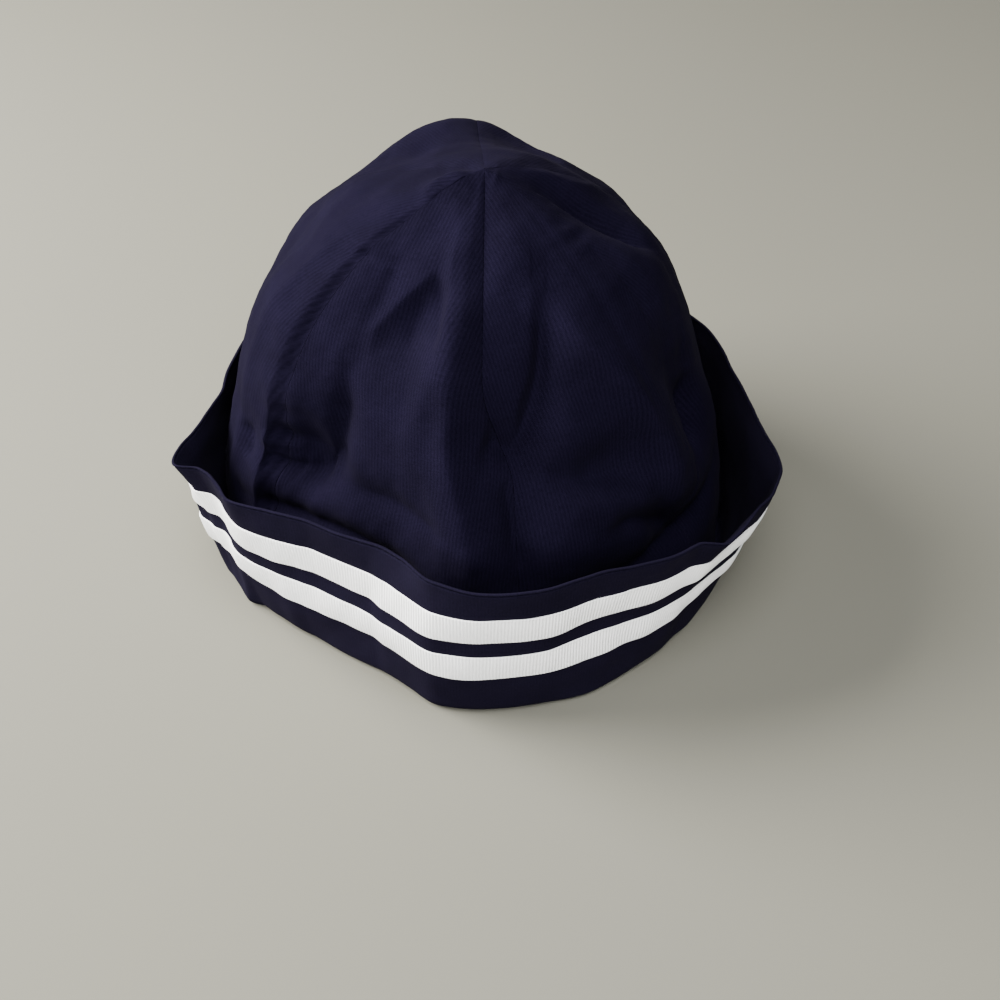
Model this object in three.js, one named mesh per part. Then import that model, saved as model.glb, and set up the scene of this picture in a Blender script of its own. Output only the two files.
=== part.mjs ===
// Sailor cap of navy cotton twill: a crown of six sewn gores inside a deep brim that is
// turned up all round, with two woven ribbons running round the outside of the brim.
// Millimetres, +Z up, front towards -Y. The cap stands on the fold at the foot of its brim.
import * as THREE from "three";

// Driving sizes
const footHalfWidth = 88; // middle of the cap to the outside of the fold, at the front
const crownHeight = 146; // table to the point where the gores meet
const crownThickness = 1.2; // one layer of twill with its seam allowance
const brimWidth = 62; // fold to rim, measured along the cloth
const brimThickness = 1.4; // two layers of twill
const foldRadius = 3; // outside of the rounded fold that the cap stands on
const foldLip = 6; // how far the cloth runs in from the outside of the fold
const ribbonWidth = 11;
const ribbonThickness = 1;
const ribbonFromRim = 13; // rim to the top edge of the upper ribbon, along the cloth
const ribbonSpacing = 7; // bare cloth between the two ribbons
const clearance = 0.3; // between pieces that touch
const apexRadius = 0.6; // open tip where the gores' points meet
const apexShiftRight = 2.5; // the point of the crown stands a little off the middle
const apexShiftBack = 3;

// Fineness of the faceted surfaces
const brimSteps = 120;
const goreSteps = 11;
const goreRows = 19;

// Finishes
const navyCloth = { color: 0x171833, roughness: 0.92, metalness: 0 };
const navyBrim = { color: 0x15162c, roughness: 0.9, metalness: 0 };
const whiteRibbon = { color: 0xe9e6e0, roughness: 0.7, metalness: 0 };

// Plan of the fold and the rim. A bearing runs round from the front, positive towards +X.
// foot: outside of the fold, as a share of footHalfWidth. flare: how far the rim stands out
// beyond the fold, as a share of brimWidth. bow: how far the middle of the wall bulges.
const brimRows = [
  { bearing: -180, foot: 1, flare: 0.06, bow: 0.02 },
  { bearing: -140, foot: 1, flare: 0.04, bow: 0.02 },
  { bearing: -112, foot: 1.001, flare: -0.009, bow: 0.02 },
  { bearing: -100, foot: 1.009, flare: -0.024, bow: 0.02 },
  { bearing: -92, foot: 1.017, flare: -0.037, bow: 0.019 },
  { bearing: -86, foot: 1.029, flare: -0.012, bow: 0.021 },
  { bearing: -82, foot: 1.036, flare: 0.021, bow: 0.026 },
  { bearing: -78, foot: 1.035, flare: 0.084, bow: 0.029 },
  { bearing: -75, foot: 1.041, flare: 0.15, bow: 0.022 },
  { bearing: -71, foot: 1.03, flare: 0.195, bow: -0.022 },
  { bearing: -67.5, foot: 1.018, flare: 0.15, bow: -0.02 },
  { bearing: -64, foot: 1.003, flare: 0.125, bow: -0.008 },
  { bearing: -60.5, foot: 0.973, flare: 0.152, bow: 0.01 },
  { bearing: -57, foot: 0.954, flare: 0.182, bow: 0.005 },
  { bearing: -53, foot: 0.935, flare: 0.159, bow: 0.007 },
  { bearing: -49, foot: 0.923, flare: 0.117, bow: 0.017 },
  { bearing: -44.5, foot: 0.905, flare: 0.086, bow: 0.017 },
  { bearing: -40, foot: 0.9, flare: 0.054, bow: 0.011 },
  { bearing: -33, foot: 0.898, flare: 0.042, bow: 0.003 },
  { bearing: -26, foot: 0.901, flare: 0.027, bow: 0.014 },
  { bearing: -21.5, foot: 0.916, flare: 0.016, bow: 0.043 },
  { bearing: -17, foot: 0.944, flare: 0.021, bow: 0.047 },
  { bearing: -9, foot: 1.006, flare: 0.05, bow: 0.029 },
  { bearing: 0, foot: 1.014, flare: 0.091, bow: 0.013 },
  { bearing: 12, foot: 1.012, flare: 0.096, bow: 0.01 },
  { bearing: 22, foot: 1.022, flare: 0.065, bow: -0.031 },
  { bearing: 29, foot: 1.01, flare: 0.119, bow: -0.043 },
  { bearing: 36, foot: 1, flare: 0.171, bow: -0.014 },
  { bearing: 42, foot: 0.998, flare: 0.192, bow: -0.009 },
  { bearing: 47, foot: 0.989, flare: 0.3, bow: -0.048 },
  { bearing: 52, foot: 0.998, flare: 0.282, bow: -0.043 },
  { bearing: 57, foot: 0.994, flare: 0.276, bow: -0.017 },
  { bearing: 62, foot: 0.996, flare: 0.293, bow: -0.003 },
  { bearing: 67, foot: 1.002, flare: 0.283, bow: 0 },
  { bearing: 71.5, foot: 1.007, flare: 0.223, bow: 0.003 },
  { bearing: 76, foot: 1.002, flare: 0.156, bow: 0.008 },
  { bearing: 82, foot: 1.003, flare: 0.074, bow: 0.016 },
  { bearing: 88, foot: 0.999, flare: 0.031, bow: 0.02 },
  { bearing: 96, foot: 0.997, flare: -0.001, bow: 0.02 },
  { bearing: 105, foot: 1.006, flare: -0.021, bow: 0.02 },
  { bearing: 113, foot: 1.005, flare: -0.019, bow: 0.02 },
  { bearing: 122, foot: 1.001, flare: -0.025, bow: 0.02 },
  { bearing: 145, foot: 1, flare: 0.03, bow: 0.02 },
];

// Profile of the crown. rise: share of crownHeight. The other columns give the reach from
// the middle in the four main directions, as shares of the crown's reach at its foot.
const crownRows = [
  { rise: 0, front: 1, right: 1, back: 1, left: 1 },
  { rise: 0.15, front: 0.985, right: 0.985, back: 1.0, left: 1.01 },
  { rise: 0.3, front: 0.945, right: 0.955, back: 0.99, left: 1.0 },
  { rise: 0.45, front: 0.875, right: 0.89, back: 0.96, left: 0.95 },
  { rise: 0.6, front: 0.77, right: 0.806, back: 0.911, left: 0.893 },
  { rise: 0.72, front: 0.655, right: 0.726, back: 0.881, left: 0.808 },
  { rise: 0.82, front: 0.51, right: 0.604, back: 0.776, left: 0.671 },
  { rise: 0.9, front: 0.345, right: 0.403, back: 0.711, left: 0.515 },
  { rise: 0.96, front: 0.16, right: 0.181, back: 0.434, left: 0.24 },
  { rise: 1, front: 0, right: 0, back: 0, left: 0 },
];

// Dents and folds of the crown. bearing and rise place the middle of each one, turn leans
// it from upright towards +X, length and width are its half sizes and depth is how far it
// sinks in (or stands out, if negative), all three as shares of crownHeight.
const crownFolds = [
  { name: "front hollow", bearing: 4, rise: 0.63, turn: 10, length: 0.13, width: 0.1, depth: 0.05 },
  { name: "front crease", bearing: 16, rise: 0.75, turn: 9, length: 0.18, width: 0.05, depth: 0.025 },
  { name: "low crease", bearing: 8, rise: 0.42, turn: 0, length: 0.16, width: 0.05, depth: 0.025 },
  { name: "left ridge", bearing: -16, rise: 0.72, turn: 3, length: 0.2, width: 0.05, depth: -0.025 },
  { name: "low ridge", bearing: -7, rise: 0.46, turn: -20, length: 0.14, width: 0.05, depth: -0.02 },
  { name: "cross fold", bearing: 30, rise: 0.53, turn: 85, length: 0.18, width: 0.06, depth: 0.025 },
  { name: "right swell", bearing: 33, rise: 0.41, turn: 85, length: 0.2, width: 0.07, depth: -0.015 },
  { name: "right ridge", bearing: 49, rise: 0.58, turn: -25, length: 0.3, width: 0.06, depth: -0.025 },
  { name: "right hollow", bearing: 68, rise: 0.55, turn: -10, length: 0.16, width: 0.08, depth: 0.035 },
  { name: "left hollow", bearing: -56, rise: 0.47, turn: 0, length: 0.12, width: 0.13, depth: 0.035 },
  { name: "left pleat", bearing: -31, rise: 0.8, turn: 44, length: 0.12, width: 0.05, depth: 0.02 },
  { name: "left low fold", bearing: -26, rise: 0.4, turn: 105, length: 0.16, width: 0.06, depth: 0.02 },
  { name: "right top fold", bearing: 87, rise: 0.885, turn: 0, length: 0.14, width: 0.05, depth: 0.025 },
  { name: "right top ridge", bearing: 122, rise: 0.88, turn: 0, length: 0.18, width: 0.06, depth: -0.015 },
  { name: "back left flat", bearing: -142.5, rise: 0.935, turn: 0, length: 0.16, width: 0.125, depth: 0.042 },
  { name: "back right flat", bearing: 160, rise: 0.923, turn: 0, length: 0.16, width: 0.148, depth: 0.067 },
  { name: "right shoulder", bearing: 124, rise: 0.86, turn: 0, length: 0.163, width: 0.106, depth: 0.048 },
];

// Bearings of the crown's seams near its point and down at its foot
const seams = {
  front: { point: -1, foot: 8 },
  frontRight: { point: 61, foot: 58 },
  backRight: { point: 118, foot: 120 },
  back: { point: 182, foot: 180 },
  backLeft: { point: -120, foot: -120 },
  frontLeft: { point: -60, foot: -60 },
};
const seamBend = { from: 0.52, to: 0.74 }; // rises between which the seams bend over

const tipBlend = 8; // thicknesses from the tip within which the wall's normal turns upright
const dentThrough = 0.45; // a dent fades out this share of crownHeight under the surface

const degrees = Math.PI / 180;

// A smooth curve through the rows of a table, closed round the bearings
function aroundTable(rows, column, bearing) {
  const count = rows.length;
  const turned = ((bearing + 180) % 360 + 360) % 360 - 180;
  let at = 0;
  while (at < count - 1 && rows[at + 1].bearing <= turned) at += 1;
  const pick = (k) => rows[(k + count) % count][column];
  const place = (k) => rows[(k + count) % count].bearing + 360 * Math.floor(k / count);
  return cubicThrough(pick, place, at, turned);
}

// The piece of a smooth curve between knots k and k + 1, with slopes that never overshoot
function cubicThrough(value, place, k, x) {
  const step = place(k + 1) - place(k);
  const chord = (i) => (value(i + 1) - value(i)) / (place(i + 1) - place(i));
  const slope = (i) => {
    const before = chord(i - 1);
    const after = chord(i);
    return before * after > 0 ? (2 * before * after) / (before + after) : 0;
  };
  const t = (x - place(k)) / step;
  const a = value(k);
  const b = value(k + 1);
  const ease = t * t * (3 - 2 * t);
  return a + (b - a) * ease
    + step * slope(k) * t * (1 - t) * (1 - t)
    - step * slope(k + 1) * t * t * (1 - t);
}

// Reach of the outside of the fold at a bearing
function footReach(bearing) {
  return footHalfWidth * aroundTable(brimRows, "foot", bearing);
}

// The outward direction in plan at a bearing
function outward(bearing) {
  return new THREE.Vector2(Math.sin(bearing * degrees), -Math.cos(bearing * degrees));
}

// A point of the brim's wall: along is measured up the cloth from the fold and inset runs
// from the outer face into the cloth
function brimPoint(bearing, along, inset) {
  const share = along / brimWidth;
  const flare = aroundTable(brimRows, "flare", bearing);
  const bow = aroundTable(brimRows, "bow", bearing);
  const lean = Math.asin(flare);
  const reach = footReach(bearing) + along * flare + brimWidth * bow * Math.sin(Math.PI * share);
  const height = along * Math.cos(lean);
  const out = outward(bearing);
  const distance = reach - inset * Math.cos(lean);
  return new THREE.Vector3(out.x * distance, out.y * distance, height + inset * flare);
}

// Closed skin through rings of points: every ring has the same count, rings join in order
// and the last ring joins the first
function skinOfRings(rings) {
  const count = rings[0].length;
  const positions = rings.flat().flatMap((p) => [p.x, p.y, p.z]);
  const index = [];
  rings.forEach((ring, r) => {
    const next = (r + 1) % rings.length;
    for (let k = 0; k < count; k += 1) {
      const a = r * count + k;
      const b = r * count + ((k + 1) % count);
      const c = next * count + k;
      const d = next * count + ((k + 1) % count);
      index.push(a, b, d, a, d, c);
    }
  });
  const geometry = new THREE.BufferGeometry();
  geometry.setAttribute("position", new THREE.Float32BufferAttribute(positions, 3));
  geometry.setIndex(index);
  return geometry;
}

function clothMesh(name, geometry, finish) {
  geometry.computeVertexNormals();
  const mesh = new THREE.Mesh(geometry, new THREE.MeshStandardMaterial(finish));
  mesh.name = name;
  return mesh;
}

// Places along the wall where its facets break: at the edges of both ribbons
const ribbonTops = [brimWidth - ribbonFromRim, brimWidth - ribbonFromRim - ribbonWidth - ribbonSpacing];
const wallStops = [foldRadius]
  .concat(ribbonTops.slice().reverse().flatMap((top) => [top - ribbonWidth, top]))
  .concat([brimWidth]);

// Section of the brim at a bearing: in along the table, round the fold, up the wall, over
// the rim and back down inside
function brimSection(bearing) {
  const out = outward(bearing);
  const foot = footReach(bearing);
  const middle = foot - foldRadius;
  const flat = (reach, height) => new THREE.Vector3(out.x * reach, out.y * reach, height);
  const bend = (radius) => flat(
    middle + radius * Math.sin(45 * degrees),
    foldRadius - radius * Math.cos(45 * degrees),
  );
  return [
    flat(foot - foldLip, 0),
    flat(middle, 0),
    bend(foldRadius),
    ...wallStops.map((along) => brimPoint(bearing, along, 0)),
    ...wallStops.map((along) => brimPoint(bearing, along, brimThickness)).reverse(),
    bend(foldRadius - brimThickness),
    flat(middle, brimThickness),
    flat(foot - foldLip, brimThickness),
  ];
}

function makeBrim() {
  const rings = [];
  for (let k = 0; k < brimSteps; k += 1) rings.push(brimSection((360 * k) / brimSteps - 180));
  return clothMesh("brim", skinOfRings(rings.reverse()), navyBrim);
}

// A ribbon lies on the outer face of the brim, its top edge at a given way up the wall
function makeRibbon(name, top) {
  const inner = clearance;
  const outer = clearance + ribbonThickness;
  const bottom = top - ribbonWidth;
  const rings = [];
  for (let k = 0; k < brimSteps; k += 1) {
    const bearing = (360 * k) / brimSteps - 180;
    const at = (along, proud) => brimPoint(bearing, along, -proud);
    rings.push([at(bottom, inner), at(bottom, outer), at(top, outer), at(top, inner)]);
  }
  return clothMesh(name, skinOfRings(rings.reverse()), whiteRibbon);
}

// Reach of the crown's outer face at its foot: just inside the brim's fold
function crownFootReach(bearing) {
  return footReach(bearing) - foldRadius - clearance;
}

// Height and reach of the crown by row number, which may lie between two rows
function crownRow(row, column) {
  const k = Math.min(Math.floor(row), crownRows.length - 2);
  const pick = (i) => crownRows[Math.min(Math.max(i, 0), crownRows.length - 1)][column];
  return cubicThrough(pick, (i) => i, k, row);
}

// Reach of the smooth crown from the middle
function crownReach(bearing, row) {
  const out = outward(bearing);
  const side = out.x > 0 ? "right" : "left";
  const end = out.y > 0 ? "back" : "front";
  const share = crownRow(row, side) * out.x ** 2 + crownRow(row, end) * out.y ** 2;
  return Math.max(share * crownFootReach(bearing), apexRadius);
}

// The smooth crown before any dent
function domePoint(bearing, row) {
  const out = outward(bearing);
  const reach = crownReach(bearing, row);
  const rise = crownRow(row, "rise");
  const seat = brimThickness + clearance;
  return new THREE.Vector3(
    out.x * reach + apexShiftRight * rise,
    out.y * reach + apexShiftBack * rise,
    seat + (crownHeight - seat) * rise,
  );
}

// The outward normal of the smooth crown, turning upright at the point where the gores meet
function domeNormal(bearing, row) {
  const small = 0.02;
  const high = Math.min(row + small, crownRows.length - 1 - small);
  const low = Math.max(Math.min(row, high) - small, 0);
  const up = domePoint(bearing, high).sub(domePoint(bearing, low));
  const round = domePoint(bearing + 1, row).sub(domePoint(bearing - 1, row));
  const upright = new THREE.Vector3(0, 0, 1);
  const nearPoint = 1 - Math.min(crownReach(bearing, row) / (tipBlend * crownThickness), 1);
  return round.cross(up).normalize().lerp(upright, nearPoint).normalize();
}

// The row number at which the crown has a given rise
function rowAtRise(rise) {
  let low = 0;
  let high = crownRows.length - 1;
  for (let turn = 0; turn < 24; turn += 1) {
    const middle = (low + high) / 2;
    if (crownRow(middle, "rise") < rise) low = middle;
    else high = middle;
  }
  return low;
}

// Each dent's middle and its three directions on the smooth crown: along, beside and out
const dents = crownFolds.map((fold) => {
  const row = rowAtRise(fold.rise);
  const out = domeNormal(fold.bearing, row);
  const across = new THREE.Vector3(0, 0, 1).cross(out).normalize();
  const up = out.clone().cross(across);
  const turn = fold.turn * degrees;
  const along = up.clone().multiplyScalar(Math.cos(turn)).addScaledVector(across, Math.sin(turn));
  return { ...fold, out, along, beside: out.clone().cross(along), middle: domePoint(fold.bearing, row) };
});

// How deep the dents are at a point of the smooth crown
function dentDepth(point) {
  let depth = 0;
  for (const dent of dents) {
    const away = point.clone().sub(dent.middle).divideScalar(crownHeight);
    const along = away.dot(dent.along) / dent.length;
    const beside = away.dot(dent.beside) / dent.width;
    const behind = away.dot(dent.out) / dentThrough;
    depth += dent.depth * crownHeight * Math.exp(-(along ** 2) - beside ** 2 - behind ** 2);
  }
  return depth;
}

function crownPoint(bearing, row, inset) {
  const smooth = domePoint(bearing, row);
  const depth = dentDepth(smooth) + inset;
  return smooth.addScaledVector(domeNormal(bearing, row), -depth);
}

// Bearing of a seam at a row of the crown
function seamBearing(seam, row) {
  const share = THREE.MathUtils.smoothstep(crownRow(row, "rise"), seamBend.from, seamBend.to);
  return THREE.MathUtils.lerp(seam.foot, seam.point, share);
}

// One gore between two seams, its edges half a clearance away from each seam
function makeGore(name, fromSeam, toSeam) {
  const rowStep = (crownRows.length - 1) / goreRows;
  const rowStops = Array.from({ length: goreRows + 1 }, (_, k) => k * rowStep);
  const point = (row, k, inset) => {
    const start = seamBearing(fromSeam, row);
    const span = THREE.MathUtils.euclideanModulo(seamBearing(toSeam, row) - start, 360);
    const gap = clearance / 2 / crownReach(start + span / 2, row) / degrees;
    return crownPoint(start + gap + ((span - 2 * gap) * k) / goreSteps, row, inset);
  };
  const rings = rowStops.map((row) => {
    const outer = [];
    const inner = [];
    for (let k = 0; k <= goreSteps; k += 1) {
      outer.push(point(row, k, 0));
      inner.push(point(row, k, crownThickness));
    }
    return outer.concat(inner.reverse());
  });
  return clothMesh(name, capSkin(rings), navyCloth);
}

// Closed skin through rings with both end rings capped as strips of outer against inner
function capSkin(rings) {
  const count = rings[0].length;
  const half = count / 2;
  const positions = rings.flat().flatMap((p) => [p.x, p.y, p.z]);
  const index = [];
  for (let r = 0; r < rings.length - 1; r += 1) {
    for (let k = 0; k < count; k += 1) {
      const a = r * count + k;
      const b = r * count + ((k + 1) % count);
      index.push(a, b, b + count, a, b + count, a + count);
    }
  }
  const top = (rings.length - 1) * count;
  for (let k = 0; k < half - 1; k += 1) {
    const a = k;
    const b = k + 1;
    const c = count - 2 - k;
    const d = count - 1 - k;
    index.push(a, d, c, a, c, b);
    index.push(top + a, top + b, top + c, top + a, top + c, top + d);
  }
  const geometry = new THREE.BufferGeometry();
  geometry.setAttribute("position", new THREE.Float32BufferAttribute(positions, 3));
  geometry.setIndex(index);
  return geometry;
}

const pieces = new THREE.Group();
pieces.add(
  makeGore("crown_front_right", seams.front, seams.frontRight),
  makeGore("crown_right", seams.frontRight, seams.backRight),
  makeGore("crown_back_right", seams.backRight, seams.back),
  makeGore("crown_back_left", seams.back, seams.backLeft),
  makeGore("crown_left", seams.backLeft, seams.frontLeft),
  makeGore("crown_front_left", seams.frontLeft, seams.front),
  makeBrim(),
  makeRibbon("ribbon_upper", ribbonTops[0]),
  makeRibbon("ribbon_lower", ribbonTops[1]),
);

// The origin lies on the table, under the middle of the whole cap
const middle = new THREE.Box3().setFromObject(pieces).getCenter(new THREE.Vector3());
pieces.position.set(-middle.x, -middle.y, 0);

const cap = new THREE.Group();
cap.add(pieces);

export default cap;
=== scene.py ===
import math

import bpy
import numpy as np
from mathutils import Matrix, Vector


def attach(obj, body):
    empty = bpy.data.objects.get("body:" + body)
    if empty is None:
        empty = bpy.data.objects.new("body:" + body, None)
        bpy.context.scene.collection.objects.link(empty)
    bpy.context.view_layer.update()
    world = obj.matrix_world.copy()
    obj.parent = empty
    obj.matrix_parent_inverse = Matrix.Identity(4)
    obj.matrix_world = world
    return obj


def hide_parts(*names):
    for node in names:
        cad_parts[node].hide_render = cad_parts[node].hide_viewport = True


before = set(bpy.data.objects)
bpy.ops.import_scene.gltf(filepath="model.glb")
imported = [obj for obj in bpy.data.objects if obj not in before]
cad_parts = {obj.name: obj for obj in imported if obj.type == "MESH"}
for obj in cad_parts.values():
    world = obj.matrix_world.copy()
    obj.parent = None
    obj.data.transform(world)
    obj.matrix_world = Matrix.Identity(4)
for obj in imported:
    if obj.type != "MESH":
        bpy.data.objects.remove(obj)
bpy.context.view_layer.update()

# Sizes in millimetres, as in the CAD model except where a line says otherwise
MM = 0.001
foot_half_width = 88.0
crown_height = 146.0
crown_cloth_thickness = 0.9  # thinner here
brim_width = 62.0
brim_thickness = 1.4
rim_thickness = 0.8  # here the brim thins towards its rim
fold_radius = 3.0
fold_lip = 6.0
ribbon_width = 11.0
ribbon_thickness = 0.55  # thinner here
ribbon_from_rim = 13.0
ribbon_spacing = 7.0
clearance = 0.3
apex_radius = 0.15  # nearly closed here
apex_shift = (2.5, 3.0)
tip_blend = 9.6  # reach within which the crown's normal turns upright at the point
recentre = (-0.01, 1.241)  # moves the middle of the cap's box over the origin

# Fineness
gore_columns = 108
gore_rows = 200
column_crowding = 0.6  # how much closer the columns of a gore are at its seams
brim_rings = 760
wall_rows = 32
near_rim_rows = 20
near_rim = 4.0  # millimetres from the rim within which the wall has finer rows
lip_rows = 4
fold_rows = 8
inner_fold_rows = 6
rim_rows = 9
samples_per_rib = 8

# Plan of the fold and rim: bearing, foot as a share of foot_half_width, then flare and bow as
# shares of brim_width. Most rows come from a least-squares fit to the rim, ribbons and foot in
# the photo.
BRIM = np.array([
    (-180, 1, 0.06, 0.02), (-140, 1, 0.04, 0.02), (-112, 1.001, -0.009, 0.02),
    (-100, 1.009, -0.024, 0.02), (-92, 1.017, -0.037, 0.019), (-86, 1.029, -0.012, 0.021),
    (-82, 1.036, 0.021, 0.026), (-78, 1.035, 0.084, 0.029), (-75, 1.041, 0.15, 0.022),
    (-71, 1.028, 0.228, -0.05), (-67.5, 1.021, 0.128, -0.032), (-64, 1.017, 0.097, -0.013),
    (-60.5, 0.969, 0.157, 0.02), (-57, 0.954, 0.182, 0.005), (-53, 0.935, 0.159, 0.007),
    (-49, 0.923, 0.117, 0.017), (-44.5, 0.905, 0.086, 0.017), (-40, 0.9, 0.054, 0.011),
    (-33, 0.898, 0.042, 0.003), (-26, 0.901, 0.027, 0.014), (-21.5, 0.916, 0.016, 0.043),
    (-17, 0.944, 0.021, 0.047), (-9, 1.006, 0.05, 0.029), (0, 1.014, 0.091, 0.013),
    (12, 1.012, 0.096, 0.01), (22, 1.022, 0.065, -0.031), (29, 1.01, 0.119, -0.043),
    (36, 1, 0.171, -0.014), (42, 0.998, 0.192, -0.009), (47, 0.989, 0.3, -0.048),
    (52, 0.998, 0.282, -0.043), (57, 0.994, 0.276, -0.017), (62, 0.996, 0.293, -0.003),
    (67, 1.002, 0.283, 0), (71.5, 1.007, 0.223, 0.003), (76, 1.002, 0.156, 0.008),
    (82, 1.003, 0.074, 0.016), (88, 0.999, 0.031, 0.02), (96, 0.997, -0.001, 0.02),
    (105, 1.006, -0.021, 0.02), (113, 1.005, -0.019, 0.02), (122, 1.001, -0.025, 0.02),
    (145, 1, 0.03, 0.02),
])

# Profile of the crown: rise, then the reach to the front, right, back and left
CROWN = np.array([
    (0, 1, 1, 1, 1),
    (0.15, 0.985, 0.985, 1.0, 1.01),
    (0.3, 0.945, 0.955, 0.99, 1.0),
    (0.45, 0.875, 0.89, 0.96, 0.95),
    (0.6, 0.77, 0.806, 0.911, 0.893),
    (0.72, 0.655, 0.726, 0.881, 0.808),
    (0.82, 0.51, 0.604, 0.776, 0.671),
    (0.9, 0.345, 0.403, 0.711, 0.515),
    (0.96, 0.16, 0.181, 0.434, 0.24),
    (1, 0, 0, 0, 0),
])

# Broad dents and folds of the crown: bearing, rise and turn from upright, then half length, half
# width and depth as shares of crown_height. A negative depth stands out.
FOLDS = [
    # as in the CAD model
    (4, 0.63, 10, 0.13, 0.1, 0.05),
    (16, 0.75, 9, 0.18, 0.05, 0.025),
    (8, 0.42, 0, 0.16, 0.05, 0.025),
    (-16, 0.72, 3, 0.2, 0.05, -0.025),
    (-7, 0.46, -20, 0.14, 0.05, -0.02),
    (30, 0.53, 85, 0.18, 0.06, 0.025),
    (33, 0.41, 85, 0.2, 0.07, -0.015),
    (49, 0.58, -25, 0.3, 0.06, -0.025),
    (68, 0.55, -10, 0.16, 0.08, 0.035),
    (-56, 0.47, 0, 0.12, 0.13, 0.035),
    (-31, 0.8, 44, 0.12, 0.05, 0.02),
    (-26, 0.4, 105, 0.16, 0.06, 0.02),
    (87, 0.885, 0, 0.14, 0.05, 0.025),
    (122, 0.88, 0, 0.18, 0.06, -0.015),
    (-142.5, 0.935, 0, 0.16, 0.125, 0.042),
    (160, 0.923, 0, 0.16, 0.148, 0.067),
    (124, 0.86, 0, 0.163, 0.106, 0.048),
    # deeper than in the CAD model: the flat behind the point and the left hollow
    (-152, 0.945, 0, 0.045, 0.07, 0.013),
    (-53, 0.45, 0, 0.085, 0.07, 0.04),
]
dent_through = 0.45  # a dent fades out this share of crown_height under the surface

# Creases of the crown: depth, half width on the side that is on the right hand when going along
# the crease and half width on the other side, in millimetres, then the course as bearings and
# rises. A negative depth stands out.
CREASES = [
    # pleat by the left ridge
    (2.0, 2.5, 3.5, [(-26, 0.884), (-22, 0.843), (-18, 0.798), (-16, 0.761)]),
    # left ridge
    (-4.4, 4.5, 7, [(-64, 0.977), (-30, 0.954), (-18, 0.925), (-17, 0.887), (-14, 0.846),
                    (-10, 0.78), (-9.5, 0.694), (-9.5, 0.614), (-7, 0.535), (-4, 0.455),
                    (-3, 0.393), (-2, 0.34)]),
    # crest left of the right crease
    (-2.4, 7, 2.5, [(22, 0.873), (17, 0.81), (14, 0.746), (10, 0.683), (9, 0.619)]),
    # right crease
    (3.2, 2.5, 5, [(26, 0.851), (21, 0.804), (18, 0.753), (15, 0.694), (11, 0.619), (9, 0.56)]),
    # low front groove
    (2.6, 3.5, 3.5, [(8, 0.553), (6, 0.522), (7, 0.458), (7, 0.408), (8, 0.371), (8, 0.324)]),
    # pocket of the front hollow
    (5.5, 4.5, 5.5, [(-2, 0.619), (4, 0.603), (10, 0.575)]),
    # cross valley
    (3.4, 3.5, 7, [(11, 0.575), (16, 0.556), (21, 0.525), (30, 0.509), (38, 0.49), (44, 0.439)]),
    # swell under the cross valley
    (-2.2, 6, 7, [(13, 0.515), (25, 0.477), (40, 0.43), (48, 0.368)]),
    # low right hollow
    (5.4, 4, 6, [(28, 0.399), (39, 0.38), (55, 0.259)]),
    # right ridge
    (-3.0, 6, 6, [(28, 0.858), (30, 0.812), (34, 0.761), (40, 0.704), (47, 0.592), (50, 0.493),
                  (51, 0.427), (54, 0.306)]),
    # right hollow
    (5.6, 8, 4, [(76, 0.566), (74, 0.493), (72, 0.43), (66, 0.38)]),
    # edge of the right hollow
    (-1.3, 4, 1.8, [(61, 0.609), (56, 0.578), (54, 0.535)]),
    # left hollow
    (5.5, 4.5, 4, [(-46, 0.687), (-44.5, 0.617), (-45, 0.55), (-46, 0.477), (-50, 0.43),
                   (-56, 0.41)]),
    # swelling left of the left hollow
    (-2.2, 8, 6, [(-59, 0.66), (-59, 0.6), (-59, 0.53), (-59, 0.47)]),
    # left streak
    (-1.5, 2.2, 2.4, [(-67, 0.485), (-63, 0.46), (-58, 0.435)]),
    # under the left streak
    (3.2, 2.5, 3, [(-65, 0.417), (-58, 0.405), (-54, 0.405)]),
    # left pocket
    (2.4, 4, 4, [(-73, 0.47), (-70, 0.421), (-70, 0.374)]),
    # left valley above the rim
    (6.5, 4.5, 5.5, [(-70, 0.29), (-52, 0.3), (-38, 0.305), (-24, 0.29), (-8, 0.265)]),
    # right valley above the rim
    (6, 4.5, 6, [(10, 0.26), (22, 0.26), (36, 0.25), (50, 0.25), (66, 0.27), (78, 0.3)]),
    # left low pocket
    (3.4, 4, 4, [(-56, 0.408), (-51, 0.405), (-46, 0.427)]),
    # left low valley
    (2.4, 4, 5, [(-42, 0.427), (-34, 0.433), (-27, 0.436), (-16, 0.43), (-7, 0.417)]),
    # left shaded pleat
    (1.3, 5, 5, [(-58, 0.93), (-49, 0.896), (-45, 0.846), (-45, 0.796), (-46, 0.74)]),
    # crest between the left pleats
    (-1.8, 3, 3.5, [(-26, 0.895), (-32, 0.858), (-38, 0.823), (-42, 0.772), (-40, 0.72)]),
    # left second pleat
    (1.8, 3, 3.5, [(-25, 0.863), (-29, 0.846), (-30, 0.815), (-29, 0.782), (-28, 0.738)]),
    # dip along the front seam
    (1.8, 6.5, 4.5, [(5, 0.991), (0, 0.939), (-2, 0.895), (-2, 0.83), (-2, 0.731), (-3, 0.683)]),
    # crest by the point
    (-2.2, 2.6, 5, [(-62, 0.994), (-80, 0.981), (-72, 0.968), (-61, 0.953)]),
    # back crest
    (-0.3, 7, 5, [(-164, 0.995), (-146, 0.987), (-152, 0.962), (-160, 0.938), (-163, 0.916)]),
    # right top crest
    (-1.4, 3.5, 3.5, [(74, 0.993), (111, 0.962), (110, 0.925), (132, 0.79)]),
    # right top crease
    (3.4, 1.6, 5, [(86, 0.942), (90, 0.921), (88, 0.879), (87, 0.841), (90, 0.802)]),
    # lump by the point
    (-0.5, 3.5, 3.5, [(56, 0.992), (66, 0.987)]),
]
crease_step = 2.5  # distance between the points of a course once it is smoothed
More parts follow.
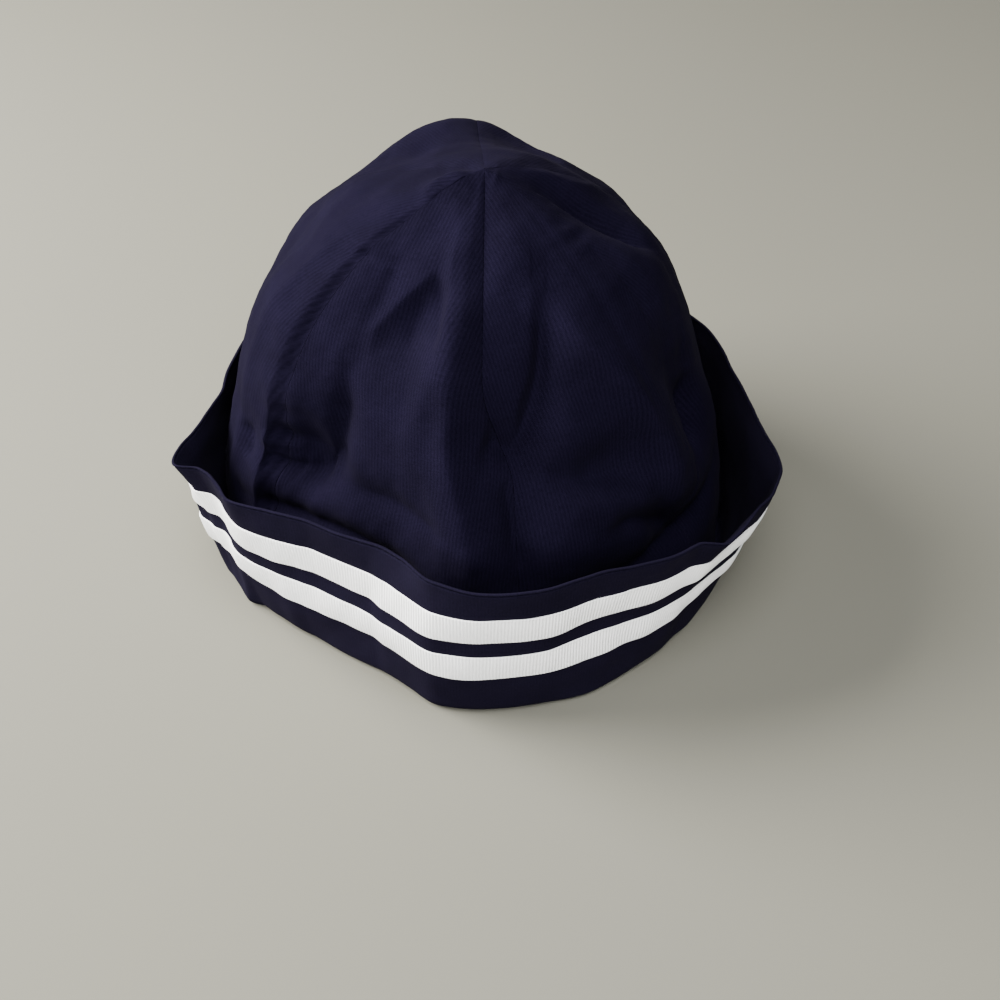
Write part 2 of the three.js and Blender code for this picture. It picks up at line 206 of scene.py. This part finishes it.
crease_reach = 3.2  # half widths beyond which a crease isn't felt
crease_bluntness = 0.04
crease_power = 0.65
crease_fade = 0.3  # share of the course over which each end fades
crease_end = 0.25  # share of the depth that is left at the very end

# Seams of the crown: bearing near the point and at the foot, then in millimetres the depth of the
# line, the height of the puckers along it and the height of the seam allowance under the cloth
SEAMS = [
    (-1, 8, 0.75, 0.12, 0.22),
    (61, 58, 0, 0.45, 0.03),
    (118, 120, 0.1, 0.3, 0.12),
    (182, 180, 0.25, 0.2, 0.12),
    (240, 240, 0, 0.3, 0.03),
    (300, 300, 0, 0.55, 0.02),
]
seam_bend = (0.52, 0.74)  # rises between which the seams bend over
seam_pressed = (0.62, 0.5)  # rises between which the line gets fainter on the way down
seam_pressed_share = 0.6
seam_gap = 0.002  # from the middle of a seam to the edge of a gore
seam_rounding = 1.3
pucker_reach = 5.0
allowance_width = 6.0
allowance_edge = 0.5
point_fade = 6.0  # reach within which the seams' relief fades towards the point

# Unevenness of the cloth: height, wavelength in millimetres and seed
CROWN_RIPPLES = ((0.5, 38, 5), (0.2, 14, 9), (0.07, 6, 11))
BRIM_RIPPLES = ((0.45, 34, 21), (0.16, 12, 22))


# Curves

def curve(place, value, x):
    """Smooth curve through knots, with slopes that never overshoot."""
    place, value = np.asarray(place, float), np.asarray(value, float)
    chord = np.diff(value) / np.diff(place)
    before, after = chord[:-1], chord[1:]
    both = before * after > 0
    total = np.where(both, before + after, 1)
    slope = np.zeros(len(value))
    slope[1:-1] = np.where(both, 2 * before * after / total, 0)
    k = np.clip(np.searchsorted(place, x, side="right") - 1, 1, len(place) - 3)
    return hermite(place, value, slope, k, x)


def flowing_curve(place, value, x):
    """Smooth curve through knots that may swing a little past them."""
    k = np.clip(np.searchsorted(place, x, side="right") - 1, 0, len(place) - 2)
    return hermite(place, value, np.gradient(value, place), k, x)


def hermite(place, value, slope, k, x):
    step = place[k + 1] - place[k]
    t = (x - place[k]) / step
    a, b = value[k], value[k + 1]
    return (a + (b - a) * t * t * (3 - 2 * t)
            + step * slope[k] * t * (1 - t) ** 2
            - step * slope[k + 1] * t * t * (1 - t))


def smooth_step(low, high, x):
    share = np.clip((x - low) / (high - low), 0, 1)
    return share * share * (3 - 2 * share)


def unit(v):
    return v / np.linalg.norm(v, axis=-1, keepdims=True)


def running_length(points):
    return np.concatenate([[0], np.cumsum(np.linalg.norm(np.diff(points, axis=0), axis=1))])


def ripple(points, wavelength, seed, count=16):
    rng = np.random.default_rng(seed)
    total = np.zeros(points.shape[:-1])
    for _ in range(count):
        direction = unit(rng.normal(size=3))
        rate = 2 * math.pi / (wavelength * rng.uniform(0.7, 1.5))
        total += np.sin(points @ direction * rate + rng.uniform(0, 2 * math.pi))
    return total / math.sqrt(count)


def ripples(points, table):
    return sum(height * ripple(points, wavelength, seed) for height, wavelength, seed in table)


# Plain shape of brim and crown

def around(column, bearing):
    """A column of BRIM at any bearing."""
    turned = (np.asarray(bearing, float) + 180) % 360 - 180
    place = np.concatenate([BRIM[-2:, 0] - 360, BRIM[:, 0], BRIM[:2, 0] + 360])
    value = np.concatenate([BRIM[-2:, column], BRIM[:, column], BRIM[:2, column]])
    return curve(place, value, turned)


def crown_row(row, column):
    """A column of CROWN at any row, also between two rows."""
    value = np.concatenate([CROWN[:1, column], CROWN[:, column], CROWN[-1:, column]])
    return curve(np.arange(-1, len(CROWN) + 1), value, row)


def row_at_rise(rise):
    rows = np.linspace(0, len(CROWN) - 1, 4001)
    return np.interp(rise, crown_row(rows, 0), rows)


def outward(bearing):
    angle = np.radians(bearing)
    return np.sin(angle), -np.cos(angle)


def foot_reach(bearing):
    return foot_half_width * around(1, bearing)


def brim_point(bearing, along, inset):
    """Point of the brim: along the cloth from the table up to the rim, inset from its outside."""
    flare = around(2, bearing)
    bow = around(3, bearing)
    upright = np.sqrt(1 - flare ** 2)
    x, y = outward(bearing)
    bulge = brim_width * bow * np.sin(np.pi * along / brim_width)
    reach = foot_reach(bearing) + along * flare + bulge
    distance = reach - inset * upright
    return np.stack([x * distance, y * distance, along * upright + inset * flare], -1)


def brim_unevenness(bearing, along):
    """How far the wall of the brim stands in or out from its plain shape."""
    rise = np.clip(along / brim_width, 0, 1)
    x, y = outward(bearing)
    spot = np.stack([x * foot_half_width, y * foot_half_width, along + 0 * x], -1)
    return ripples(spot, BRIM_RIPPLES) * np.clip(rise * 5, 0, 1)


def even_bearings(count, along):
    """Bearings at even steps round the brim, closed, and the length round it."""
    fine = np.linspace(-180, 180, 14401)
    length = running_length(brim_point(fine, along, 0))
    return np.interp(np.linspace(0, length[-1], count + 1), length, fine), length[-1]


def crown_reach(bearing, row):
    x, y = outward(bearing)
    side = np.where(x > 0, crown_row(row, 2), crown_row(row, 4))
    end = np.where(y > 0, crown_row(row, 3), crown_row(row, 1))
    foot = foot_reach(bearing) - fold_radius - clearance
    return np.maximum((side * x * x + end * y * y) * foot, apex_radius)


def dome_point(bearing, row):
    x, y = outward(bearing)
    reach = crown_reach(bearing, row)
    rise = crown_row(row, 0)
    seat = brim_thickness + clearance
    return np.stack([x * reach + apex_shift[0] * rise, y * reach + apex_shift[1] * rise,
                     seat + (crown_height - seat) * rise], -1)


def dome_normal(bearing, row):
    small = 0.02
    top = len(CROWN) - 1
    high = np.minimum(row + small, top - small)
    low = np.maximum(np.minimum(row, high) - small, 0)
    up = dome_point(bearing, high) - dome_point(bearing, low)
    sideways = dome_point(bearing + 1, row) - dome_point(bearing - 1, row)
    out = unit(np.cross(sideways, up))
    near = 1 - np.minimum(crown_reach(bearing, row) / tip_blend, 1)
    return unit(out * (1 - near[..., None]) + np.array([0, 0, 1]) * near[..., None])


# Folds and creases of the crown

def make_folds(table):
    folds = []
    for bearing, rise, turn, length, width, depth in table:
        at = np.array(float(bearing)), np.array(float(row_at_rise(rise)))
        out = dome_normal(*at)
        across = unit(np.cross([0, 0, 1], out))
        up = np.cross(out, across)
        angle = math.radians(turn)
        along = up * math.cos(angle) + across * math.sin(angle)
        folds.append((dome_point(*at), along, np.cross(out, along), out, length, width, depth))
    return folds


def fold_depth(points, folds):
    depth = np.zeros(points.shape[:-1])
    for middle, along, beside, out, length, width, deep in folds:
        away = (points - middle) / crown_height
        u = away @ along / length
        v = away @ beside / width
        w = away @ out / dent_through
        depth += deep * crown_height * np.exp(-v * v) * np.exp(-u * u - w * w)
    return depth


def make_creases(table):
    """Courses of the creases as points close together, in millimetres."""
    creases = []
    for depth, right, left, course in table:
        bearing, rise = np.array(course, float).T
        knots = dome_point(bearing, row_at_rise(rise))
        place = running_length(knots)
        stops = np.linspace(0, place[-1], max(int(place[-1] / crease_step), 6))
        smooth = np.stack([flowing_curve(place, knots[:, axis], stops) for axis in range(3)], -1)
        creases.append((depth, right, left, smooth))
    return creases


def nearest_on_course(points, normals, course):
    """Distance to a course, place along it as a share, and side of it, positive to the right."""
    nearest = np.full(len(points), 1e9)
    place = np.zeros(len(points))
    side = np.zeros(len(points))
    length = running_length(course)
    for k in range(len(course) - 1):
        start, along = course[k], course[k + 1] - course[k]
        t = np.clip((points - start) @ along / (along @ along), 0, 1)
        away = points - start - t[:, None] * along
        distance = np.linalg.norm(away, axis=1)
        closer = distance < nearest
        nearest[closer] = distance[closer]
        place[closer] = (length[k] + t[closer] * (length[k + 1] - length[k])) / length[-1]
        turned = np.cross(along, normals[closer])
        side[closer] = np.einsum("ij,ij->i", turned, away[closer])
    return nearest, place, side


def crease_depth(points, normals, creases):
    depth = np.zeros(points.shape[:-1])
    flat, out = points.reshape(-1, 3), normals.reshape(-1, 3)
    for deep, right, left, course in creases:
        reach = crease_reach * max(right, left)
        low, high = course.min(0) - reach, course.max(0) + reach
        near = np.flatnonzero(((flat > low) & (flat < high)).all(1))
        if len(near) == 0:
            continue
        distance, place, side = nearest_on_course(flat[near], out[near], course)
        s = distance / np.where(side > 0, right, left)
        blunt = crease_bluntness
        profile = np.exp(blunt ** crease_power - (s * s + blunt) ** crease_power)
        taper = smooth_step(0, crease_fade, np.minimum(place, 1 - place))
        strength = crease_end + (1 - crease_end) * taper
        depth.reshape(-1)[near] += deep * profile * strength
    return depth


# Meshes

def make_piece(name, points, quads, uv, material, edge_quads=0):
    """Mesh object from points in millimetres, quads and a place on the cloth for each corner.

    The last quads, as many as edge_quads, are cut edges of the cloth and aren't shaded smooth.
    """
    moved = points + np.array([recentre[0], recentre[1], 0])
    a, b, c, d = (moved[quads[:, i]] for i in range(4))
    volume = (np.einsum("ij,ij->i", a, np.cross(b, c)).sum()
              + np.einsum("ij,ij->i", a, np.cross(c, d)).sum())
    if volume < 0:
        quads, uv = quads[:, ::-1], uv[:, ::-1]
    mesh = bpy.data.meshes.new(name)
    mesh.vertices.add(len(moved))
    mesh.vertices.foreach_set("co", (moved * MM).astype(np.float32).ravel())
    mesh.loops.add(quads.size)
    mesh.loops.foreach_set("vertex_index", quads.astype(np.int32).ravel())
    mesh.polygons.add(len(quads))
    starts = np.arange(0, quads.size, 4, dtype=np.int32)
    mesh.polygons.foreach_set("loop_start", starts)
    mesh.update(calc_edges=True)
    layer = mesh.uv_layers.new(name="cloth")
    layer.data.foreach_set("uv", uv.astype(np.float32).ravel())
    mesh.polygons.foreach_set("use_smooth", np.arange(len(quads)) < len(quads) - edge_quads)
    mesh.validate()
    mesh.materials.append(material)
    obj = bpy.data.objects.new(name, mesh)
    bpy.context.scene.collection.objects.link(obj)
    return obj


def grid_quads(rows, columns, uv, closed=False, start=0):
    """Quads of a grid and their cloth places. A closed grid has one more cloth place each way."""
    r = np.arange(rows if closed else rows - 1)
    k = np.arange(columns if closed else columns - 1)
    r, k = (g.ravel() for g in np.meshgrid(r, k, indexing="ij"))
    r1, k1 = (r + 1) % rows, (k + 1) % columns
    corners = [r * columns + k, r * columns + k1, r1 * columns + k1, r1 * columns + k]
    places = [uv[r, k], uv[r, k + 1], uv[r + 1, k + 1], uv[r + 1, k]]
    return np.stack(corners, -1) + start, np.stack(places, 1)


def make_sheet(name, outer, inner, uv, material):
    """Piece with an outer and an inner face on the same grid, closed along its edges."""
    rows, columns = uv.shape[:2]
    count = rows * columns
    quads_out, uv_out = grid_quads(rows, columns, uv)
    quads_in, uv_in = grid_quads(rows, columns, uv, start=count)
    index = np.arange(count).reshape(rows, columns)
    edges = []
    for line in (index[0, :], index[:, -1], index[-1, ::-1], index[::-1, 0]):
        edges.append(np.stack([line[:-1], line[1:], line[1:] + count, line[:-1] + count], -1))
    edges = np.concatenate(edges)
    uv_edges = uv.reshape(-1, 2)[edges % count]
    points = np.concatenate([outer.reshape(-1, 3), inner.reshape(-1, 3)])
    quads = np.concatenate([quads_out, quads_in[:, ::-1], edges[:, ::-1]])
    places = np.concatenate([uv_out, uv_in[:, ::-1], uv_edges[:, ::-1]])
    return make_piece(name, points, quads, places, material, len(edges))


def make_band(name, sections, along_ring, across, material):
    """Piece closed both ways: sections lists the points of the ring one after another."""
    points = np.stack(sections, 1)
    uv = np.stack(np.meshgrid(along_ring, across, indexing="ij"), -1)
    quads, places = grid_quads(points.shape[0], points.shape[1], uv, closed=True)
    return make_piece(name, points.reshape(-1, 3), quads, places, material)


# Crown

def seam_bearing(number, row):
    point, foot = SEAMS[number][:2]
    return foot + (point - foot) * smooth_step(*seam_bend, crown_row(row, 0))


def puckers(number, stitched):
    """Small ridges along a seam, up to 1 high, the same on both sides of it."""
    swing = 2.2 * np.sin(stitched / 9 + number) + 1.3 * np.sin(stitched / 4.1 + 2 * number)
    strength = np.sin(stitched / 13 + 3 * number) + 0.5 * np.sin(stitched / 5.3)
    return np.clip(strength, 0, 1) * np.sin(stitched / 1.6 + swing)


def seam_relief(number, row, distance, has_allowance):
    """Depth of a seam's line and puckers beside it, less the height of its allowance."""
    line, pucker, allowance = SEAMS[number][2:]
    rows = row[:, 0]
    stitched = running_length(dome_point(seam_bearing(number, rows), rows))[:, None]
    pressed = 1 - seam_pressed_share * smooth_step(*seam_pressed, crown_row(row, 0))
    depth = line * pressed * np.exp(-distance / seam_rounding)
    depth += pucker * puckers(number, stitched) * np.exp(-distance / pucker_reach)
    if has_allowance:
        depth -= allowance / (1 + np.exp((distance - allowance_width) / allowance_edge))
    return depth


def make_gore(name, number, material):
    """The gore between a seam and the next one, whose seam allowance lies under this gore."""
    after = (number + 1) % len(SEAMS)
    share = np.linspace(0, 1, gore_columns)
    share = share - column_crowding * np.sin(2 * math.pi * share) / (2 * math.pi)
    row, part = np.meshgrid(np.linspace(0, len(CROWN) - 1, gore_rows), share, indexing="ij")
    start = seam_bearing(number, row)
    span = (seam_bearing(after, row) - start) % 360
    middle = start + span / 2
    middle_reach = crown_reach(middle, row)
    gap = np.degrees(seam_gap / middle_reach)
    bearing = start + gap + (span - 2 * gap) * part
    reach = crown_reach(bearing, row)
    plain_dome = dome_point(bearing, row)
    normal = dome_normal(bearing, row)

    depth = fold_depth(plain_dome, folds) + crease_depth(plain_dome, normal, creases)
    depth += ripples(plain_dome, CROWN_RIPPLES)
    from_seam = np.radians(bearing - start) * reach
    to_seam = np.radians(start + span - bearing) * reach
    relief = seam_relief(number, row, from_seam, False) + seam_relief(after, row, to_seam, True)
    depth += np.minimum(middle_reach / point_fade, 1) * relief

    outer = plain_dome - normal * depth[..., None]
    inner = plain_dome - normal * (depth[..., None] + crown_cloth_thickness)
    up = running_length(dome_point(middle[:, 0], row[:, 0]))
    across = np.radians(bearing - middle) * reach
    uv = np.stack([across, np.repeat(up[:, None], gore_columns, 1)], -1)
    return make_sheet(name, outer, inner, uv, material)


folds = make_folds(FOLDS)
creases = make_creases(CREASES)


# Brim

stitch_down = 1.15  # rim to the line of stitching
stitch_pitch = 2.6
stitch_groove = 0.42
groove_half_width = 0.34
groove_dimples = 0.25  # share by which each stitch deepens the groove
bead_height = 0.1
bead_down = 0.3
bead_half_width = 0.4
thinning = (9.0, 2.0)  # distances from the rim between which the brim gets thinner
measured_at = 0.6  # share of the wall's height at which the length round it is taken
fold_place = -5.0  # place on the cloth where the fold begins


def make_brim(name, material):
    bearings, round_length = even_bearings(brim_rings, brim_width * measured_at)
    ring = bearings[:-1]
    x, y = outward(ring)
    foot = foot_reach(ring)
    stitch_wave = np.cos(np.arange(len(ring)) / len(ring) * 2 * math.pi
                         * round(round_length / stitch_pitch))
    sections = []
    places = []

    def add(points, place):
        sections.append(points)
        places.append(place)

    def add_level(reach, height, place):
        add(np.stack([x * reach, y * reach, height + 0 * x], -1), place)

    def thickness(along):
        thinned = smooth_step(brim_width - thinning[0], brim_width - thinning[1], along)
        return brim_thickness - (brim_thickness - rim_thickness) * thinned

    def groove(along):
        d = (brim_width - along - stitch_down) / groove_half_width
        return stitch_groove * np.exp(-d * d) * (1 + groove_dimples * stitch_wave)

    def bead(along):
        return -bead_height * np.exp(-((brim_width - along - bead_down) / bead_half_width) ** 2)

    def uneven(along):
        return brim_unevenness(ring, along)

    half = rim_thickness / 2
    tip = brim_width - half
    coarse = np.linspace(fold_radius, brim_width - near_rim, wall_rows)
    fine = np.linspace(brim_width - near_rim, tip, near_rim_rows)
    wall = np.concatenate([coarse[:-1], fine])
    lip_wide = fold_lip - fold_radius
    # underside of the lip, then the outside of the fold and of the wall
    for share in np.linspace(0, 1, lip_rows)[:-1]:
        add_level(foot - fold_lip + share * lip_wide, 0, fold_place - (1 - share) * lip_wide)
    for angle in np.linspace(0, math.pi / 2, fold_rows)[:-1]:
        reach = foot - fold_radius + fold_radius * math.sin(angle)
        add_level(reach, fold_radius * (1 - math.cos(angle)), fold_place + fold_radius * angle)
    for along in wall:
        add(brim_point(ring, along, uneven(along) + groove(along) + bead(along)), along)
    # over the rim
    for angle in np.linspace(0, math.pi, rim_rows)[1:-1]:
        inset = uneven(tip) + half - half * math.cos(angle) + bead(tip) * math.cos(angle)
        add(brim_point(ring, tip + half * math.sin(angle), inset), brim_width + half * angle)
    # inside of the wall and of the fold, then the top of the lip
    inner_place = 2 * brim_width + 2
    for along in wall[::-1]:
        inset = uneven(along) + thickness(along) - groove(along) - bead(along)
        add(brim_point(ring, along, inset), inner_place - along)
    radius = fold_radius - brim_thickness
    for angle in np.linspace(math.pi / 2, 0, inner_fold_rows)[1:]:
        reach = foot - fold_radius + radius * math.sin(angle)
        add_level(reach, fold_radius - radius * math.cos(angle), inner_place - angle)
    for share in np.linspace(1, 0, lip_rows)[1:]:
        add_level(foot - fold_lip + share * lip_wide, brim_thickness, inner_place + 2 - share)

    across = np.array(places + [places[-1] + brim_thickness])
    return make_band(name, sections, np.linspace(0, round_length, len(ring) + 1), across, material)


# Ribbons

rib_pitch = 1.05
rib_height = 0.15
selvedge = 0.55
ribbon_lift = 0.04  # brim to the back of the ribbon


def make_ribbon(name, top, material):
    middle = top - ribbon_width / 2
    bottom = top - ribbon_width
    _, round_length = even_bearings(8, middle)
    ribs = round(round_length / rib_pitch)
    bearings, _ = even_bearings(ribs * samples_per_rib, middle)
    ring = bearings[:-1]
    rib = rib_height * np.cos(np.arange(len(ring)) / samples_per_rib * 2 * math.pi)
    face = ribbon_lift + ribbon_thickness
    # from an edge inwards: distance, height over the brim and share of the ribs' height
    edge = [
        (0, ribbon_lift, 0),
        (-0.06, ribbon_lift + 0.25, 0),
        (0.05, face - 0.12, 0.25),
        (selvedge * 0.6, face - 0.06, 0.3),
        (selvedge, face - 0.1, 0.5),
        (selvedge + 0.35, face, 1),
    ]
    profile = [(bottom + inwards, height, share) for inwards, height, share in edge]
    profile.append((middle, face, 1))
    profile += [(top - inwards, height, share) for inwards, height, share in edge[::-1]]
    sections = []
    for along, height, share in profile:
        inset = brim_unevenness(ring, along) - height - share * rib
        sections.append(brim_point(ring, along, inset))
    across = np.array([along for along, height, share in profile] + [bottom])
    return make_band(name, sections, np.linspace(0, ribs, len(ring) + 1), across, material)


# Rim stitching: one row of short stitches on each face, lying in the groove

stitch_length = 2.1
thread_radius = 0.14
thread_end = 0.55  # radius at the ends of a stitch, as a share
thread_arch = 0.08
thread_sunk = 0.02 + stitch_groove * 0.9
thread_steps = 5
thread_sides = 5


def make_stitch(bearing, face, side):
    """Rings of points along one stitch, on the outer face (side -1) or the inner one (side 1)."""
    along = brim_width - stitch_down
    uneven = brim_unevenness(bearing, along)
    arch = np.sin(np.linspace(0, math.pi, thread_steps))
    angle = np.arange(thread_sides) / thread_sides * 2 * math.pi
    rings = []
    for step in range(thread_steps):
        radius = thread_radius * (thread_end + (1 - thread_end) * arch[step])
        inset = face + uneven[step] + side * (thread_arch * arch[step] - thread_sunk)
        beside = np.full(thread_sides, bearing[step])
        rings.append(brim_point(beside, along + radius * np.cos(angle),
                                inset + radius * np.sin(angle)))
    return np.concatenate(rings)


def make_stitching(name, material):
    rim_bearings, round_length = even_bearings(2000, brim_width)
    rim_places = np.linspace(0, 1, len(rim_bearings))
    count = round(round_length / stitch_pitch)
    half = stitch_length / 2 / round_length
    points = []
    for face, side in ((0, -1), (rim_thickness, 1)):
        for index in range(count):
            centre = (index + 0.5) / count
            stops = np.linspace(centre - half, centre + half, thread_steps)
            points.append(make_stitch(np.interp(stops, rim_places, rim_bearings), face, side))
    step, k = (g.ravel() for g in np.meshgrid(np.arange(thread_steps - 1),
                                              np.arange(thread_sides), indexing="ij"))
    a = step * thread_sides + k
    b = step * thread_sides + (k + 1) % thread_sides
    one = np.stack([a, b, b + thread_sides, a + thread_sides], -1)
    starts = np.arange(len(points)) * thread_steps * thread_sides
    quads = (one + starts[:, None, None]).reshape(-1, 4)
    uv = np.zeros((len(quads), 4, 2))
    uv[:, :, 0] = (quads // thread_sides) * 0.5
    uv[:, :, 1] = quads % thread_sides
    return make_piece(name, np.concatenate(points), quads, uv, material)


# Materials

def shader(name):
    material = bpy.data.materials.new(name)
    material.use_nodes = True
    tree = material.node_tree
    return material, tree, tree.nodes["Principled BSDF"]


def node(tree, kind, inputs=(), **settings):
    made = tree.nodes.new(kind)
    for key, value in settings.items():
        setattr(made, key, value)
    fill(tree, made, dict(inputs))
    return made


def fill(tree, made, inputs):
    """Links the sockets given as values of inputs and sets the others."""
    for key, value in inputs.items():
        if isinstance(value, bpy.types.NodeSocket):
            tree.links.new(value, made.inputs[key])
        else:
            made.inputs[key].default_value = value


def cloth_place(tree, scale=(1, 1, 1), turn=0):
    uv = node(tree, "ShaderNodeUVMap", uv_map="cloth").outputs["UV"]
    rotation = (0, 0, math.radians(turn))
    settings = {"Vector": uv, "Rotation": rotation, "Scale": scale}
    return node(tree, "ShaderNodeMapping", settings).outputs["Vector"]


def bands(tree, place, scale, distortion, detail, detail_scale):
    settings = {"Vector": place, "Scale": scale, "Distortion": distortion, "Detail": detail,
                "Detail Scale": detail_scale}
    wave = node(tree, "ShaderNodeTexWave", settings, wave_type="BANDS", bands_direction="X")
    return wave.outputs["Fac"]


def noise(tree, place, scale, detail, roughness=0.5):
    settings = {"Vector": place, "Scale": scale, "Detail": detail, "Roughness": roughness}
    return node(tree, "ShaderNodeTexNoise", settings).outputs["Fac"]


def spread(tree, value, low, high, to_low=0.0, to_high=1.0):
    settings = {"Value": value, "From Min": low, "From Max": high, "To Min": to_low,
                "To Max": to_high}
    return node(tree, "ShaderNodeMapRange", settings).outputs["Result"]


def mix_colour(tree, factor, a, b, blend="MIX"):
    made = node(tree, "ShaderNodeMix", data_type="RGBA", blend_type=blend)
    fill(tree, made, {0: factor, 6: a, 7: b})
    return made.outputs[2]


def maths(tree, operation, *values):
    return node(tree, "ShaderNodeMath", enumerate(values), operation=operation).outputs[0]


def bump(tree, bsdf, height, strength, distance):
    made = node(tree, "ShaderNodeBump",
                {"Height": height, "Strength": strength, "Distance": distance})
    tree.links.new(made.outputs["Normal"], bsdf.inputs["Normal"])


def twill(name, dark, light, wale, wale_share):
    """Cotton twill: diagonal ribs of the weave, a faint upright wale and uneven dyeing."""
    material, tree, bsdf = shader(name)
    diagonal = bands(tree, cloth_place(tree, turn=63), 0.75, 0.6, 2.0, 3.0)
    upright = bands(tree, cloth_place(tree, (1, 0.15, 1)), wale, 2.2, 3.0, 1.2)
    fibre = noise(tree, cloth_place(tree, (1, 0.35, 1)), 2.6, 4.0, 0.7)
    cloudy = noise(tree, cloth_place(tree), 0.05, 3.0)
    fibre_part = maths(tree, "MULTIPLY", fibre, 1 - 0.3 * wale_share)
    mixed = maths(tree, "MULTIPLY_ADD", upright, 0.3 * wale_share, fibre_part)
    worn = mix_colour(tree, spread(tree, mixed, 0.3, 0.66), dark, light)
    dyeing = spread(tree, cloudy, 0.3, 0.7, 0.85, 1.15)
    colour = mix_colour(tree, 1.0, worn, dyeing, "MULTIPLY")
    tree.links.new(colour, bsdf.inputs["Base Color"])
    ribs = maths(tree, "MULTIPLY", diagonal, 0.2)
    weave = maths(tree, "ADD", ribs, maths(tree, "MULTIPLY", fibre, 0.6))
    height = maths(tree, "ADD", weave, maths(tree, "MULTIPLY", upright, 0.5 * wale_share))
    bump(tree, bsdf, height, 0.5, 0.22 * MM)
    bsdf.inputs["Roughness"].default_value = 0.88
    bsdf.inputs["Specular IOR Level"].default_value = 0.01
    bsdf.inputs["Sheen Weight"].default_value = 0.006
    bsdf.inputs["Sheen Roughness"].default_value = 0.5
    bsdf.inputs["Sheen Tint"].default_value = (0.8, 0.72, 1, 1)
    return material


def grosgrain(name):
    """Woven ribbon: its cloth places count the cross ribs, with shade painted into the colour between
    them.
    """
    material, tree, bsdf = shader(name)
    yarn = noise(tree, cloth_place(tree, (1, 0.2, 1)), 3.0, 3.0)
    tone = spread(tree, yarn, 0.35, 0.65)
    yarns = mix_colour(tree, tone, (0.92, 0.91, 0.89, 1), (0.99, 0.985, 0.975, 1))
    place = node(tree, "ShaderNodeSeparateXYZ", {"Vector": cloth_place(tree)}).outputs["X"]
    wave = maths(tree, "COSINE", maths(tree, "MULTIPLY", place, 2 * math.pi))
    # painted shade: the white is multiplied darker in the furrows between the ribs
    rib = spread(tree, wave, -1.0, 0.2, 0.84, 1.0)
    colour = mix_colour(tree, 1.0, yarns, rib, "MULTIPLY")
    tree.links.new(colour, bsdf.inputs["Base Color"])
    bump(tree, bsdf, yarn, 0.4, 0.08 * MM)
    bsdf.inputs["Roughness"].default_value = 0.62
    bsdf.inputs["Sheen Weight"].default_value = 0.05
    return material


def plain(name, colour):
    material, _, bsdf = shader(name)
    bsdf.inputs["Base Color"].default_value = colour
    bsdf.inputs["Roughness"].default_value = 0.9
    bsdf.inputs["Specular IOR Level"].default_value = 0.02
    return material


crown_twill = twill("crown twill", (0.0021, 0.0016, 0.0051, 1), (0.0045, 0.0034, 0.0097, 1), 0.26, 0.5)
# painted light: the brim is the same cloth as the crown, but its colours are lighter, standing in for
# more light on the brim from the front
brim_twill_painted_lighter = twill("brim twill", (0.0034, 0.0027, 0.0069, 1), (0.0066, 0.0053, 0.0127, 1), 0.3, 0.25)
white_ribbon = grosgrain("white ribbon")
# the thread's own navy, with painted shade: it is darker than the brim's cloth so that the stitching
# groove reads as shaded
navy_thread_with_painted_shade = plain("navy thread", (0.0024, 0.002, 0.0055, 1))


# The cap

pieces = []
gore_names = ("crown_front_right", "crown_right", "crown_back_right",
              "crown_back_left", "crown_left", "crown_front_left")
for number, node_name in enumerate(gore_names):
    piece = make_gore(node_name + "_cloth", number, crown_twill)
    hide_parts(node_name)
    pieces.append(piece)

brim = make_brim("brim_cloth", brim_twill_painted_lighter)
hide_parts("brim")
pieces.append(brim)

upper_top = brim_width - ribbon_from_rim
lower_top = upper_top - ribbon_width - ribbon_spacing
for node_name, top in (("ribbon_upper", upper_top), ("ribbon_lower", lower_top)):
    ribbon = make_ribbon(node_name + "_cloth", top, white_ribbon)
    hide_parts(node_name)
    pieces.append(ribbon)

stitching = make_stitching("rim_stitching", navy_thread_with_painted_shade)
pieces.append(stitching)

for piece in pieces:
    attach(piece, "root")


# Floor, lights and camera, in metres

floor_size = 12
light_target = Vector((0, 0, 0.06))
# place, diameter, power and colour
LIGHTS = {
    "key": ((-0.68, 0.14, 0.54), 0.65, 46, (1.0, 0.985, 0.96)),
    "overhead": ((0.1, -0.5, 1.0), 0.8, 21, (0.97, 0.98, 1.0)),
    "fill": ((-0.5, -1.2, 0.2), 0.8, 23, (0.97, 0.98, 1.0)),
}
sky_colour = (0.95, 0.97, 1.0, 1)
sky_strength = 0.23
camera_lens = 58.41  # millimetres, on a sensor 36 mm wide
camera_place = (-0.00001, -0.42508, 0.4085)
camera_aim = Vector((0.00675, -0.0223, 0.0329))


def facing(place, target):
    return (target - Vector(place)).to_track_quat("-Z", "Y").to_euler()


def make_floor(material):
    mesh = bpy.data.meshes.new("floor")
    s = floor_size / 2
    mesh.from_pydata([(-s, -s, 0), (s, -s, 0), (s, s, 0), (-s, s, 0)], [], [(0, 1, 2, 3)])
    mesh.materials.append(material)
    obj = bpy.data.objects.new("floor", mesh)
    bpy.context.scene.collection.objects.link(obj)


def make_light(name, place, size, power, colour):
    data = bpy.data.lights.new(name, "AREA")
    data.shape = "DISK"
    data.size = size
    data.energy = power
    data.color = colour
    obj = bpy.data.objects.new(name, data)
    obj.location = place
    obj.rotation_euler = facing(place, light_target)
    bpy.context.scene.collection.objects.link(obj)


make_floor(plain("pale floor", (0.142, 0.138, 0.113, 1)))
for light_name, settings in LIGHTS.items():
    make_light(light_name, *settings)

world = bpy.context.scene.world or bpy.data.worlds.new("world")
bpy.context.scene.world = world
world.use_nodes = True
background = world.node_tree.nodes["Background"]
background.inputs["Color"].default_value = sky_colour
background.inputs["Strength"].default_value = sky_strength

camera = bpy.data.objects.new("camera", bpy.data.cameras.new("camera"))
camera.data.lens = camera_lens
camera.data.sensor_width = 36
camera.location = camera_place
camera.rotation_euler = facing(camera_place, camera_aim)
bpy.context.scene.collection.objects.link(camera)
bpy.context.scene.camera = camera
